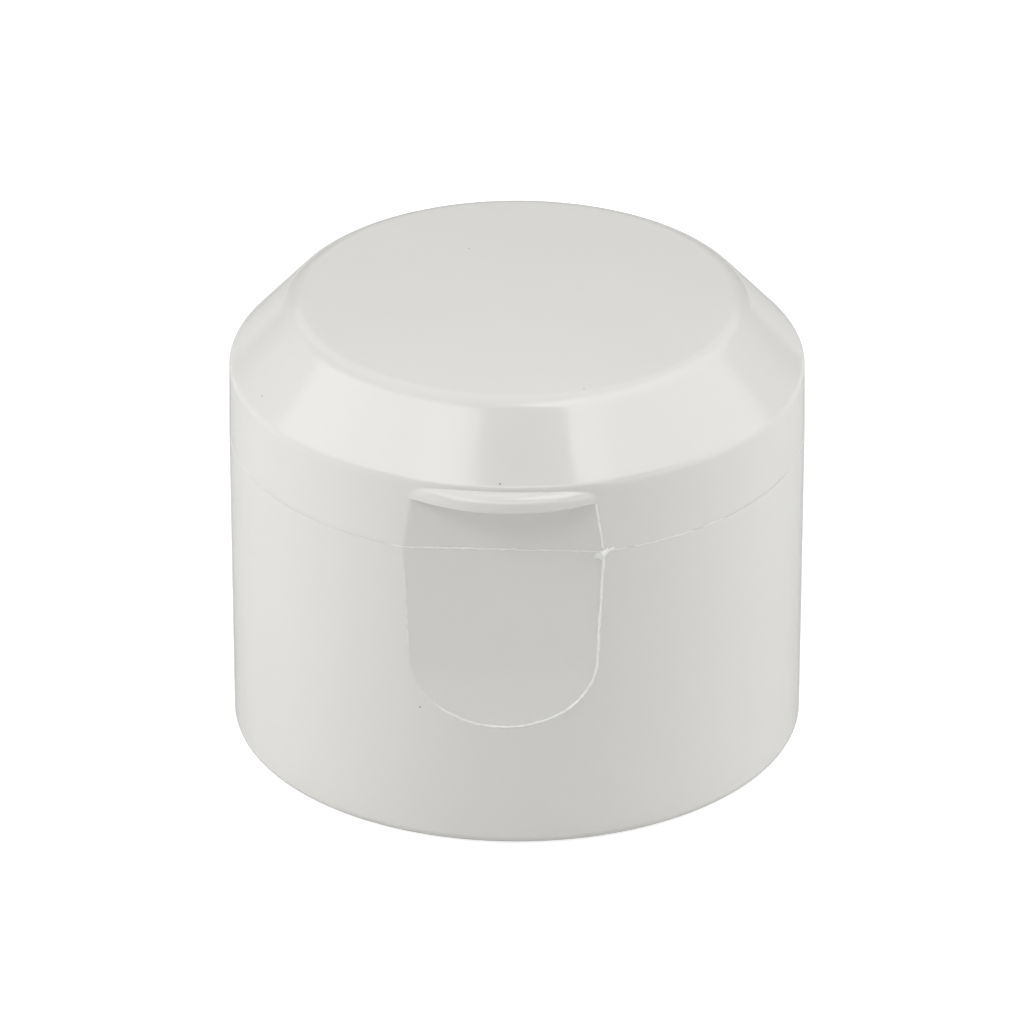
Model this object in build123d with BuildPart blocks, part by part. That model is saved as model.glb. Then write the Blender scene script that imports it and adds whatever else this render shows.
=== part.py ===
from build123d import *
from math import acos, cos, degrees, radians, sin, sqrt, tan
import os

# A flip top cap for a screw-neck bottle. Millimetres and degrees, +Z up, the thumb side towards -Y.
# The origin is the middle of the mouth, on the face that the cap stands on.

# Outside of the skirt
outer_diameter = 28.0
base_height = 15.65
skirt_draft = 0.4
bottom_rounding = 0.5
parting_gap = 0.04

# Outside of the lid
lid_band_height = 3.6
lid_band_draft = 0.6
chamfer_run = 3.0
chamfer_rise = 3.3
band_edge_rounding = 0.6
top_edge_rounding = 1.2

# Thumb recess across the parting line
recess_depth = 0.845
recess_lid_draft = 2.35
recess_base_draft = 0.55
recess_floor_length = 6.0
recess_runout_radius = 7.7

# Thumb tab that overhangs the recess
tab_width = 8.7
tab_reach = 0.65
tab_height = 0.82
tab_drop = 0.16
tab_rounding = 0.55

# Screw bore and the deck above it
skirt_wall = 1.95
thread_zone_height = 10.6
mouth_lead_in = 0.45
deck_thickness = 1.4
deck_recess = 0.6
shoulder_narrowing = 0.45

# Ring under the deck that plugs the bottle's neck
plug_seal_diameter = 15.6
plug_seal_wall = 0.9
plug_seal_length = 2.2
plug_seal_taper = 0.25

# Collar round the deck, inside the lid
collar_height = 1.2
collar_wall = 0.9
collar_rounding = 0.25
collar_gap = 0.3

# Spout and the pin that closes it
orifice_diameter = 3.0
spout_height = 2.95
spout_foot_radius = 3.5
spout_tip_wall = 0.8
spout_rounding = 0.25
pin_clearance = 0.12
pin_engagement = 1.0
pin_wall = 0.65
pin_taper = 0.2

# Walls of the lid
lid_wall = 1.2
lid_top_thickness = 1.3
pad_wall = 1.1
cavity_rounding = 0.8

# Snap bead on the collar and snap rib on the lid
catch_clearance = 0.07
rib_proud = 0.15
rib_length = 6.0
rib_lift = 0.4
bead_lift = 0.85
bead_arc = 46.0

# Pocket at the back, the living hinge and its two snap straps
pocket_depth = 1.1
pocket_floor_height = 1.45
pocket_ramp = 45.0
pivot_overhang = 0.15
film_width = 4.4
film_thickness = 0.3
film_fold_radius = 0.3
strap_width = 1.6
strap_thickness = 0.35
strap_slot = 0.6
strap_rise = 0.85
strap_bulge = 1.1

# Places that follow from the sizes above
outer_radius = outer_diameter / 2
parting = base_height + parting_gap / 2
lid_bottom = base_height + parting_gap
lid_shoulder = lid_bottom + lid_band_height
lid_top = lid_shoulder + chamfer_rise
skirt_foot_radius = outer_radius - base_height * tan(radians(skirt_draft))
lid_shoulder_radius = outer_radius - lid_band_height * tan(radians(lid_band_draft))
lid_top_radius = lid_shoulder_radius - chamfer_run

recess_ceiling = lid_shoulder - tab_drop - tab_height
front_pad = outer_radius - recess_depth - pad_wall
pocket_floor = outer_radius - pocket_depth
rear_pad = pocket_floor - pad_wall
pivot_y = outer_radius + pivot_overhang
cut_margin = 1.0

bore_radius = outer_radius - skirt_wall
deck_top = base_height - deck_recess
deck_underside = deck_top - deck_thickness
collar_radius = min(front_pad, rear_pad) - collar_gap
collar_inner_radius = collar_radius - collar_wall
collar_top = base_height + collar_height
orifice_radius = orifice_diameter / 2
spout_top = deck_top + spout_height
spout_tip_radius = orifice_radius + spout_tip_wall
plug_seal_radius = plug_seal_diameter / 2
plug_seal_tip = deck_underside - plug_seal_length

cavity_top = lid_top - lid_top_thickness
pin_tip = spout_top - pin_engagement
pin_radius = orifice_radius - pin_clearance


def corner(sketch, across, up):
    """The vertex of a section that lies nearest to a place."""
    return sketch.vertices().sort_by_distance((across, up, 0))[0]


def radial_plane(azimuth):
    """A plane through the cap's axis, local x pointing outwards at the azimuth and local y up."""
    outward = Vector(cos(radians(azimuth)), sin(radians(azimuth)), 0)
    return Plane(origin=(0, 0, 0), x_dir=outward, z_dir=outward.cross(Vector(0, 0, 1)))


def cut_across(outline):
    """Cut the active part with a prism along X whose outline is given as (y, z) points."""
    with BuildSketch(Plane.YZ) as section:
        with BuildLine():
            Polyline(*outline, close=True)
        make_face()
    extrude(section.sketch, amount=outer_radius, both=True, mode=Mode.SUBTRACT)


def pocket_outline(edge, way):
    """Outline of the hinge pocket, from the parting edge at height edge up (way 1) or down (way -1)."""
    outside = outer_radius + cut_margin
    ramp_end = edge + way * (pocket_floor_height + (outside - pocket_floor) * tan(radians(pocket_ramp)))
    return [
        (pocket_floor, edge - way * cut_margin),
        (pocket_floor, edge + way * pocket_floor_height),
        (outside, ramp_end),
        (outside, edge - way * cut_margin),
    ]


# Base: skirt, screw bore, plug seal, deck, spout and collar are one turned section
with BuildPart() as base:
    with BuildSketch(Plane.XZ) as base_section:
        with BuildLine():
            Polyline(
                (bore_radius + mouth_lead_in, 0),
                (skirt_foot_radius, 0),
                (outer_radius, base_height),
                (collar_radius, base_height),
                (collar_radius, collar_top),
                (collar_inner_radius, collar_top),
                (collar_inner_radius, deck_top),
                (spout_foot_radius, deck_top),
                (spout_tip_radius, spout_top),
                (orifice_radius, spout_top),
                (orifice_radius, deck_underside),
                (plug_seal_radius - plug_seal_wall, deck_underside),
                (plug_seal_radius - plug_seal_wall, plug_seal_tip),
                (plug_seal_radius - plug_seal_taper, plug_seal_tip),
                (plug_seal_radius, deck_underside),
                (bore_radius - shoulder_narrowing, deck_underside),
                (bore_radius, thread_zone_height),
                (bore_radius, mouth_lead_in),
                close=True,
            )
        make_face()
        fillet(corner(base_section, skirt_foot_radius, 0), bottom_rounding)
        fillet(corner(base_section, collar_radius, collar_top), collar_rounding)
        fillet(corner(base_section, collar_inner_radius, collar_top), collar_rounding)
        fillet(corner(base_section, spout_tip_radius, spout_top), spout_rounding)
        fillet(corner(base_section, orifice_radius, spout_top), spout_rounding)
        fillet(corner(base_section, spout_foot_radius, deck_top), spout_rounding)
    revolve(axis=Axis.Z)

    # Snap bead on the front of the collar
    bead_crest = front_pad - rib_proud - catch_clearance
    bead_radius = bead_crest - collar_radius
    with BuildSketch(radial_plane(-90 - bead_arc / 2)):
        with Locations((collar_radius, base_height + bead_lift)):
            Circle(bead_radius)
    revolve(axis=Axis.Z, revolution_arc=bead_arc)

    # Thumb recess: a nearly upright floor that runs out on the skirt in a tangent arc
    floor_top_y = -(outer_radius - recess_depth)
    floor_foot = (
        floor_top_y - recess_floor_length * tan(radians(recess_base_draft)),
        base_height - recess_floor_length,
    )
    recess_outside = -(outer_radius + cut_margin)
    runout_reach = floor_foot[0] - recess_outside
    floor_direction = (-sin(radians(recess_base_draft)), -cos(radians(recess_base_draft)))
    with BuildSketch(Plane.YZ):
        with BuildLine():
            Line((floor_top_y, base_height), floor_foot)
            runout = JernArc(
                start=floor_foot,
                tangent=floor_direction,
                radius=recess_runout_radius,
                arc_size=-degrees(acos(1 - runout_reach / recess_runout_radius)),
            )
            Polyline(
                runout @ 1,
                (recess_outside - cut_margin, (runout @ 1).Y),
                (recess_outside - cut_margin, base_height + cut_margin),
                (floor_top_y, base_height + cut_margin),
                (floor_top_y, base_height),
            )
        make_face()
    extrude(amount=outer_radius, both=True, mode=Mode.SUBTRACT)

    cut_across(pocket_outline(base_height, -1))

base.part.label = "base"

# Hollow of the lid: a turned section, flattened behind the thumb recess and the hinge pocket
slope_length = sqrt(chamfer_run**2 + chamfer_rise**2)
sloped_wall_across = lid_wall * slope_length / chamfer_rise
cavity_shoulder = lid_shoulder - (sloped_wall_across - lid_wall) * chamfer_rise / chamfer_run
cavity_top_radius = lid_shoulder_radius - (cavity_top - lid_shoulder) * chamfer_run / chamfer_rise - sloped_wall_across
with BuildPart() as lid_cavity:
    with BuildSketch(Plane.XZ) as cavity_section:
        with BuildLine():
            Polyline(
                (0, lid_bottom - cut_margin),
                (outer_radius - lid_wall, lid_bottom - cut_margin),
                (outer_radius - lid_wall, lid_bottom),
                (lid_shoulder_radius - lid_wall, cavity_shoulder),
                (cavity_top_radius, cavity_top),
                (0, cavity_top),
                close=True,
            )
        make_face()
        fillet(corner(cavity_section, lid_shoulder_radius - lid_wall, cavity_shoulder), cavity_rounding)
        fillet(corner(cavity_section, cavity_top_radius, cavity_top), cavity_rounding)
    revolve(axis=Axis.Z)
    with BuildSketch(Plane.XY.offset(lid_bottom - cut_margin)):
        with Locations((0, (rear_pad - front_pad) / 2)):
            Rectangle(outer_diameter, front_pad + rear_pad)
    extrude(amount=lid_top, mode=Mode.INTERSECT)

# Thumb tab: a round-edged coin whose rim passes through the ends of the tab and its crest
tab_crest = outer_radius + tab_reach
tab_end_y = sqrt(outer_radius**2 - (tab_width / 2) ** 2)
tab_rise = tab_crest - tab_end_y
tab_radius = ((tab_width / 2) ** 2 + tab_rise**2) / (2 * tab_rise)
tab_centre = (0, tab_radius - tab_crest, 0)

with BuildPart() as lid:
    with BuildSketch(Plane.XZ) as lid_section:
        with BuildLine():
            Polyline(
                (0, lid_bottom),
                (outer_radius, lid_bottom),
                (lid_shoulder_radius, lid_shoulder),
                (lid_top_radius, lid_top),
                (0, lid_top),
                close=True,
            )
        make_face()
        fillet(corner(lid_section, lid_shoulder_radius, lid_shoulder), band_edge_rounding)
        fillet(corner(lid_section, lid_top_radius, lid_top), top_edge_rounding)
    revolve(axis=Axis.Z)

    with BuildSketch(Plane(origin=tab_centre, x_dir=(1, 0, 0), z_dir=(0, -1, 0))) as tab_section:
        with BuildLine():
            Polyline(
                (0, recess_ceiling),
                (tab_radius, recess_ceiling),
                (tab_radius, recess_ceiling + tab_height),
                (0, recess_ceiling + tab_height),
                close=True,
            )
        make_face()
        fillet(corner(tab_section, tab_radius, recess_ceiling + tab_height), tab_rounding)
    revolve(axis=Axis(tab_centre, (0, 0, 1)))

    recess_top_y = floor_top_y - (recess_ceiling - lid_bottom) * tan(radians(recess_lid_draft))
    cut_across(
        [
            (floor_top_y, lid_bottom - cut_margin),
            (floor_top_y, lid_bottom),
            (recess_top_y, recess_ceiling),
            (recess_outside - cut_margin, recess_ceiling),
            (recess_outside - cut_margin, lid_bottom - cut_margin),
        ]
    )
    cut_across(pocket_outline(lid_bottom, 1))
    add(lid_cavity.part, mode=Mode.SUBTRACT)

    # Pin that plugs the spout
    with BuildSketch(Plane.XZ) as pin_section:
        with BuildLine():
            Polyline(
                (pin_radius - pin_wall, pin_tip),
                (pin_radius - pin_taper, pin_tip),
                (pin_radius, spout_top),
                (pin_radius, lid_top - lid_top_thickness / 2),
                (pin_radius - pin_wall, lid_top - lid_top_thickness / 2),
                close=True,
            )
        make_face()
    revolve(axis=Axis.Z)

    # Snap rib on the flat behind the thumb recess
    with Locations((0, -front_pad, lid_bottom + rib_lift)):
        Cylinder(rib_proud, rib_length, rotation=(0, 90, 0))

lid.part.label = "lid"

# Centre web of the living hinge, folded back on itself while the lid is shut
fold_centre = pivot_y - film_fold_radius
fold_outer = film_fold_radius + film_thickness / 2
fold_inner = film_fold_radius - film_thickness / 2
with BuildPart() as hinge_film:
    with BuildSketch(Plane.YZ):
        with BuildLine():
            Line((pocket_floor, parting - fold_outer), (fold_centre, parting - fold_outer))
            ThreePointArc(
                (fold_centre, parting - fold_outer),
                (fold_centre + fold_outer, parting),
                (fold_centre, parting + fold_outer),
            )
            Polyline(
                (fold_centre, parting + fold_outer),
                (pocket_floor, parting + fold_outer),
                (pocket_floor, parting + fold_inner),
                (fold_centre, parting + fold_inner),
            )
            ThreePointArc(
                (fold_centre, parting + fold_inner),
                (fold_centre + fold_inner, parting),
                (fold_centre, parting - fold_inner),
            )
            Polyline(
                (fold_centre, parting - fold_inner),
                (pocket_floor, parting - fold_inner),
                (pocket_floor, parting - fold_outer),
            )
        make_face()
    extrude(amount=film_width / 2, both=True)
hinge_film.part.label = "hinge_film"

# Snap straps either side of the web: bands that bow out of the pocket
strap_radius = (strap_rise**2 + strap_bulge**2) / (2 * strap_bulge)
strap_centre = pocket_floor + strap_bulge - strap_radius
strap_inner_x = film_width / 2 + strap_slot
straps = []
for name, side in (("hinge_strap_left", -1), ("hinge_strap_right", 1)):
    with BuildPart() as strap:
        with BuildSketch(Plane.YZ.offset(side * (strap_inner_x + strap_width / 2))):
            with Locations((strap_centre, parting)):
                Circle(strap_radius + strap_thickness / 2)
                Circle(strap_radius - strap_thickness / 2, mode=Mode.SUBTRACT)
            with Locations((pocket_floor, parting)):
                Rectangle(outer_radius, outer_radius, align=(Align.MIN, Align.CENTER), mode=Mode.INTERSECT)
        extrude(amount=strap_width / 2, both=True)
    strap.part.label = name
    straps.append(strap)

os.makedirs("parts", exist_ok=True)
for piece in [base, lid, hinge_film, *straps]:
    export_step(piece.part, f"parts/{piece.part.label}.step")
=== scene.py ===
import math

import bmesh
import bpy
import numpy as np
from mathutils import Matrix, Vector


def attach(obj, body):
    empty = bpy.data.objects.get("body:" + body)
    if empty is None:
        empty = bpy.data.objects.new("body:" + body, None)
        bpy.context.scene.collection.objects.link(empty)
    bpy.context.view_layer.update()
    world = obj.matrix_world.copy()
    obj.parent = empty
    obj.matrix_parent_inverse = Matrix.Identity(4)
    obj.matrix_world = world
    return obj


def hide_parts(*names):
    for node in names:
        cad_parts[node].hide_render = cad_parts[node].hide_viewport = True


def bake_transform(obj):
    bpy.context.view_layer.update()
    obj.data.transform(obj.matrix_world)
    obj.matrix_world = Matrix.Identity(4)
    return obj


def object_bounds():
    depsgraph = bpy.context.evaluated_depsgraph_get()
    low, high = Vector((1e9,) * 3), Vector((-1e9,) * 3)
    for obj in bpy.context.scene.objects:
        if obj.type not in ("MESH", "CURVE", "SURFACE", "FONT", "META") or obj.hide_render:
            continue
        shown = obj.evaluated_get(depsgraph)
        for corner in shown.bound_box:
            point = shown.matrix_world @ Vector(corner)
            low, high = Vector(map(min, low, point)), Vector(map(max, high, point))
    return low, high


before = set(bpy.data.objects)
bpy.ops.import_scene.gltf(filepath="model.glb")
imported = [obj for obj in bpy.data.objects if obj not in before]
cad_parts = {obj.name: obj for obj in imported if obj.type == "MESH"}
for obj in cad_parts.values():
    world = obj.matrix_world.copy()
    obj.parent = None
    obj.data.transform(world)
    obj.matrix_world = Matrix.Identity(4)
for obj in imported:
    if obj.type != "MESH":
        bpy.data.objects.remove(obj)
cadLow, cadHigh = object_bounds()
mm = 0.001
print("frame loaded")

# What several pieces share: sizes of the cap in mm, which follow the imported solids.
capSizes = {
    "outerRadius": 14.0,
    "baseHeight": 15.65,
    "skirtDraft": 0.4,  # deg
    "lidBottom": 15.69,
    "lidShoulder": 19.29,
    "bandDraft": 0.6,  # deg
    "lidTop": 22.59,
    "recessDepth": 0.845,
    "recessFloor": 6.0,
    "recessRunout": 7.7,  # radius of the arc that ends the recess on the skirt
    "recessBaseDraft": 0.55,  # deg
    "recessLidDraft": 2.35,  # deg
    "recessCeiling": 18.31,
    "pocketFloor": 12.9,
    "pocketHeight": 1.45,
    "pocketRounding": 0.1,
    "edgeBlend": 0.045,  # how far apart two surfaces may be where they round into each other
}
partingHeight = (capSizes["baseHeight"] + capSizes["lidBottom"]) / 2


def smoothMin(a, b, blend):
    share = np.clip(0.5 + 0.5 * (b - a) / blend, 0, 1)
    return b + (a - b) * share - blend * share * (1 - share)


def smoothStep(low, high, value):
    t = np.clip((value - low) / (high - low), 0, 1)
    return t * t * (3 - 2 * t)


def addObject(name, data):
    added = bpy.data.objects.new(name, data)
    bpy.context.scene.collection.objects.link(added)
    return added


def rowHeights(*spans):  # heights of rows, from spans with a start, an end and a spacing
    return np.concatenate([np.arange(*span) for span in spans])


def slopeOf(degrees):
    return math.tan(math.radians(degrees))


def skirtRadius(height):
    return capSizes["outerRadius"] - (capSizes["baseHeight"] - height) * slopeOf(capSizes["skirtDraft"])


def bandRadius(height):
    return capSizes["outerRadius"] - (height - capSizes["lidBottom"]) * slopeOf(capSizes["bandDraft"])


def recessReach(height):  # distance of the thumb recess from the cap's axis
    s = capSizes
    top = s["outerRadius"] - s["recessDepth"]
    draft = math.radians(s["recessBaseDraft"])
    onLid = top + (height - s["lidBottom"]) * slopeOf(s["recessLidDraft"])
    floorEnd = s["baseHeight"] - s["recessFloor"]
    onFloor = top + (s["baseHeight"] - height) * math.tan(draft)
    lean = np.arcsin(np.clip((floorEnd - height) / s["recessRunout"] + math.sin(draft), -1, 1))
    endReach = top + s["recessFloor"] * math.tan(draft)
    onRunout = endReach + s["recessRunout"] * (math.cos(draft) - np.cos(lean))
    below = np.where(height < floorEnd, onRunout, onFloor)
    return np.where(height > partingHeight, onLid, below)


def pocketReach(height):  # distance of the hinge pocket from the cap's axis
    s = capSizes
    edge = np.where(height > partingHeight, s["lidBottom"], s["baseHeight"])
    past = np.abs(height - edge) - s["pocketHeight"]
    return -smoothMin(-s["pocketFloor"] + 0 * past, -s["pocketFloor"] - past, s["pocketRounding"])


def onFlat(reach, cosine):  # radius at which a flat wall is met, from its distance and the cosine of the turn
    leastCosine = 0.05  # past this turn the wall is out of reach
    return reach / np.maximum(cosine, leastCosine)


def cutByFlats(whole, angle, height):  # a radius, cut back by the thumb recess in front and the hinge pocket behind
    cut = smoothMin(whole, onFlat(recessReach(height), np.cos(angle)), capSizes["edgeBlend"])
    return smoothMin(cut, onFlat(pocketReach(height), -np.cos(angle)), capSizes["edgeBlend"])


def awayFrom(angle):  # degrees either side of the middle of the thumb recess
    return np.degrees(np.abs((angle + np.pi) % (2 * np.pi) - np.pi))


# Turned surfaces: a path of rounded corners, swung round the axis column by column.
tiny = 1e-12  # keeps a division from failing


def roundedCorner(spot, inward, outward, shorterRun, rounding, count):  # points and directions on an arc, and its ends
    leastReach = 0.01  # mm from the corner to where its arc starts
    mostShare = 0.47  # of the shorter run beside it
    cosTurn = np.clip((inward * outward).sum(0), -1, 1)
    tanHalf = np.sqrt((1 - cosTurn) / (1 + cosTurn + tiny))
    reach = np.minimum(np.maximum(rounding * tanHalf, leastReach), mostShare * shorterRun)
    first, final = spot - inward * reach, spot + outward * reach
    weight = np.sqrt((1 + cosTurn) / 2)
    t = np.linspace(0, 1, count)[:, None, None]
    share = [(1 - t) ** 2, 2 * t * (1 - t) * weight, t**2]
    slope = [-2 * (1 - t), 2 * (1 - 2 * t) * weight, 2 * t]
    place = (share[0] * first + share[1] * spot + share[2] * final) / sum(share)
    way = (slope[0] * first + slope[1] * spot + slope[2] * final) - place * sum(slope)
    return (place, way / (np.linalg.norm(way, axis=1)[:, None] + tiny)), (first, final)


def roundedPath(corners, closed=False):
    # Corner: radius, height, rounding, points on the rounding, points (or heights) on the run after it.
    leastRun = 1e-9  # mm, for two corners at one place
    count = max(max(np.size(c[0]), np.size(c[1])) for c in corners)
    spots = np.array([[np.broadcast_to(c[0], count), np.broadcast_to(c[1], count)] for c in corners], float)
    runs = np.roll(spots, -1, axis=0) - spots
    lengths = np.linalg.norm(runs, axis=1)[:, None] + leastRun
    heading = runs / lengths
    pieces, ends = [], []
    last = len(corners) - 1
    for i, corner in enumerate(corners):
        if not closed and i in (0, last):
            way = heading[0] if i == 0 else heading[i - 1]
            pieces.append((spots[i][None], way[None]))
            ends.append((spots[i], spots[i]))
            continue
        shorterRun = np.minimum(lengths[i - 1][0], lengths[i][0])
        piece, end = roundedCorner(spots[i], heading[i - 1], heading[i], shorterRun, *corner[2:4])
        pieces.append(piece)
        ends.append(end)
    rows, ways = [], []
    for i, corner in enumerate(corners):
        rows.append(pieces[i][0])
        ways.append(pieces[i][1])
        if i == last and not closed:
            break
        start, stop = ends[i][1], ends[(i + 1) % len(corners)][0]
        along = corner[4]
        if isinstance(along, int):
            t = (np.arange(along) + 1.0)[:, None, None] / (along + 1)
        else:
            t = ((np.asarray(along)[:, None] - start[1]) / (stop[1] - start[1]))[:, None]
        rows.append(start + (stop - start) * t)
        ways.append(np.broadcast_to(heading[i], rows[-1].shape))
    rows, ways = np.concatenate(rows), np.concatenate(ways)
    return rows[:, 0], rows[:, 1], ways[:, 0], ways[:, 1]


def onColumns(path, turn):  # the same path at each column
    return [np.broadcast_to(a, (a.shape[0], len(turn))) for a in path]


def bentPath(path, turn, change):  # the path's radius changed by a rule in angle, radius and height
    r, z, rWay, zWay = path
    step = 1e-4  # mm along the path
    ahead = change(turn, r + rWay * step, z + zWay * step)
    behind = change(turn, r - rWay * step, z - zWay * step)
    radius = change(turn, r + 0 * ahead, z + 0 * ahead)
    slant = (ahead - behind) / (2 * step)
    return radius, np.broadcast_to(z, ahead.shape), slant, np.broadcast_to(zWay, ahead.shape)


def columnAngles():  # radians from -Y towards +X, close together where the recess and the pocket are
    frontHalf, backHalf = 23, 26  # deg
    frontStep, backStep, sideCount = 0.3, 0.6, 67
    hair = 0.01  # deg, so that the last angle is kept
    front = np.arange(-frontHalf, frontHalf + hair, frontStep)
    right = np.linspace(frontHalf, 180 - backHalf, sideCount)[1:-1]
    back = np.arange(180 - backHalf, 180 + backHalf + hair, backStep)
    left = np.linspace(180 + backHalf, 360 - frontHalf, sideCount)[1:-1]
    return np.radians(np.concatenate([front, right, back, left]))


def turnedMesh(name, pathAt, closed):
    turn = columnAngles()
    step = 1e-5  # radians
    r, z, rWay, zWay = pathAt(turn)
    rAhead, zAhead = pathAt(turn + step)[:2]
    rBehind, zBehind = pathAt(turn - step)[:2]
    rTurn, zTurn = (rAhead - rBehind) / (2 * step), (zAhead - zBehind) / (2 * step)
    outward = r * zWay
    sideways = zTurn * rWay - rTurn * zWay
    upward = -r * rWay
    sine, cosine = np.sin(turn), np.cos(turn)
    places = np.stack([r * sine, -r * cosine, z + 0 * r], -1) * mm
    normals = np.stack([outward * sine + sideways * cosine, -outward * cosine + sideways * sine, upward], -1)
    rowCount, columnCount = r.shape
    faces = []
    if closed:
        points, directions = places.reshape(-1, 3), normals.reshape(-1, 3)
        grid = np.arange(rowCount * columnCount).reshape(rowCount, columnCount)
        grid = np.vstack([grid, grid[:1]])
    else:  # the first and the last row are poles
        points = np.vstack([places[0, :1], places[1:-1].reshape(-1, 3), places[-1, :1]])
        directions = np.vstack([[[0, 0, -1]], normals[1:-1].reshape(-1, 3), [[0, 0, 1]]])
        grid = 1 + np.arange((rowCount - 2) * columnCount).reshape(rowCount - 2, columnCount)
        ahead = np.roll(grid, -1, axis=1)
        faces += [(0, b, a) for a, b in zip(grid[0].tolist(), ahead[0].tolist())]
        top = len(points) - 1
        faces += [(top, a, b) for a, b in zip(grid[-1].tolist(), ahead[-1].tolist())]
    ahead = np.roll(grid, -1, axis=1)
    quads = np.stack([grid[:-1], ahead[:-1], ahead[1:], grid[1:]], -1).reshape(-1, 4)
    faces += [tuple(q) for q in quads.tolist()]
    mesh = bpy.data.meshes.new(name)
    mesh.from_pydata(points.tolist(), [], faces)
    mesh.validate()
    mesh.shade_smooth()
    directions = directions / (np.linalg.norm(directions, axis=1)[:, None] + tiny)
    mesh.normals_split_custom_set_from_vertices(directions.tolist())
    piece = addObject(name, mesh)
    print(name, len(points), "points,", len(faces), "faces")
    return piece


# The finishes.
plasticUser = {
    "tone": (0.712, 0.704, 0.678),
    "otherTone": (0.697, 0.691, 0.669),
    "roughness": 0.12,
    "roughnessSpread": 0.06,
    "rippleHeight": 0.00002,
    "grainHeight": 0.0000015,
    # Noises for tone, roughness, ripple and grain: scale per metre, and detail.
    "noises": ((70.0, 2.0), (80.0, 4.0), (160.0, 1.0), (2600.0, 2.0)),
    "speckTone": (0.36, 0.34, 0.30),
    # Specks: place and radius in mm, the first four as in the photo.
    "specks": (
        (-0.13, -13.77, 19.49, 0.05),
        (-4.0, -13.35, 7.15, 0.05),
        (3.67, -9.71, 22.59, 0.04),
        (-11.98, -5.96, 19.93, 0.04),
        (8.1, 11.3, 8.4, 0.05),
        (-2.6, 5.2, 22.59, 0.04),
    ),
}
webUser = dict(plasticUser, tone=(0.74, 0.74, 0.72), otherTone=(0.71, 0.71, 0.69), roughness=0.2, specks=())
# The flash's tone is lighter than the plastic's: a painted highlight for the light that its thin ridges catch on every
# side.
paintedHighlightFlashUser = dict(plasticUser, tone=(0.85, 0.85, 0.83), otherTone=(0.82, 0.82, 0.80), roughness=0.25, specks=())


def addNode(tree, kind, inputs=None, **settings):  # inputs by name or number: another node's output or a value
    node = tree.nodes.new(kind)
    for key, value in settings.items():
        setattr(node, key, value)
    for socket, value in (inputs or {}).items():
        if hasattr(value, "links"):
            tree.links.new(value, node.inputs[socket])
        else:
            node.inputs[socket].default_value = value
    return node


def colourMix(tree, factor, *colours):
    first, second = [value if hasattr(value, "links") else tuple(value) + (1,) for value in colours]
    mixed = {"Factor": factor, 6: first, 7: second}
    return addNode(tree, "ShaderNodeMix", mixed, data_type="RGBA").outputs[2]


def mathNode(tree, operation, *values):
    return addNode(tree, "ShaderNodeMath", dict(enumerate(values)), operation=operation).outputs[0]


def noiseNode(tree, place, scale, detail):
    return addNode(tree, "ShaderNodeTexNoise", {"Vector": place, "Scale": scale, "Detail": detail}).outputs


def bumpNode(tree, height, distance, **under):
    return addNode(tree, "ShaderNodeBump", {"Height": height, "Distance": distance, **under}).outputs["Normal"]


def buildPlastic(name, user):  # moulded white polypropylene, glossy, with a faint ripple, fine grain and dark specks
    material = bpy.data.materials.new(name)
    material.use_nodes = True
    tree = material.node_tree
    place = tree.nodes.new("ShaderNodeTexCoord").outputs["Object"]
    clouds, rubbed, ripples, grains = [noiseNode(tree, place, *noise)["Fac"] for noise in user["noises"]]
    tone = colourMix(tree, clouds, user["tone"], user["otherTone"])
    for *spot, radius in user["specks"]:
        centre = [value * mm for value in spot]
        away = addNode(tree, "ShaderNodeVectorMath", {0: place, 1: centre}, operation="DISTANCE")
        near = mathNode(tree, "LESS_THAN", away.outputs["Value"], radius * mm)
        tone = colourMix(tree, near, tone, user["speckTone"])
    spread = mathNode(tree, "MULTIPLY", rubbed, user["roughnessSpread"])
    roughness = mathNode(tree, "ADD", spread, user["roughness"] - user["roughnessSpread"] / 2)
    ripple = bumpNode(tree, ripples, user["rippleHeight"])
    grain = bumpNode(tree, grains, user["grainHeight"], Normal=ripple)
    for socket, value in (("Base Color", tone), ("Roughness", roughness), ("Normal", grain)):
        tree.links.new(value, tree.nodes["Principled BSDF"].inputs[socket])
    return material


mouldedWhite = buildPlastic("mouldedWhite", plasticUser)
foldedWhite = buildPlastic("foldedWhite", webUser)
flashWithPaintedHighlight = buildPlastic("flashWithPaintedHighlight", paintedHighlightFlashUser)
print("finishes made")


# The base: skirt, screw bore, deck, spout and collar in one turned surface.
baseUser = {
    "boreRadius": 12.05,
    "mouthLeadIn": 0.45,
    "footRounding": 0.5,
    "footTop": 1.0,
    "rimHeight": 15.68,  # the lid is pressed shut, so the rim all but touches it
    "partingRounding": 0.03,
    "cornerRounding": 0.15,
    "edgeRounding": 0.25,
    "innerRounding": 0.12,
    "shoulderRounding": 0.3,
    "threadEndRounding": 0.5,
    "collarRadius": 11.5,
    "collarInner": 10.6,
    "collarTop": 16.85,
    "deckTop": 15.05,
    "deckUnder": 13.65,
    "spoutFoot": 3.5,
    "spoutTip": 2.3,
    "spoutTop": 18.0,
    "orifice": 1.5,
    "plugRadius": 7.8,
    "plugWall": 0.9,
    "plugTip": 11.45,
    "plugTaper": 0.25,
    "plugRounding": 0.2,
    "threadZone": 10.6,
    "shoulderNarrowing": 0.45,
    # Rows up the skirt, close together where the recess runs out, and up the collar's bead.
    "skirtRows": (
        (1.4, 5.9, 0.6),
        (6.1, 7.25, 0.06),
        (7.25, 9.7, 0.12),
        (9.7, 12.7, 0.2),
        (12.75, 14.7, 0.1),
        (14.75, 15.55, 0.12),
    ),
    "collarRows": (15.85, 16.55, 0.06),
    "beadHeight": 16.5,
    "beadRadius": 0.335,
    "beadHalfArc": 23.0,  # deg
    "beadFade": 1.0,  # deg
    "plainFoot": 1.2,  # the skirt is left uncut below this height
}


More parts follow.
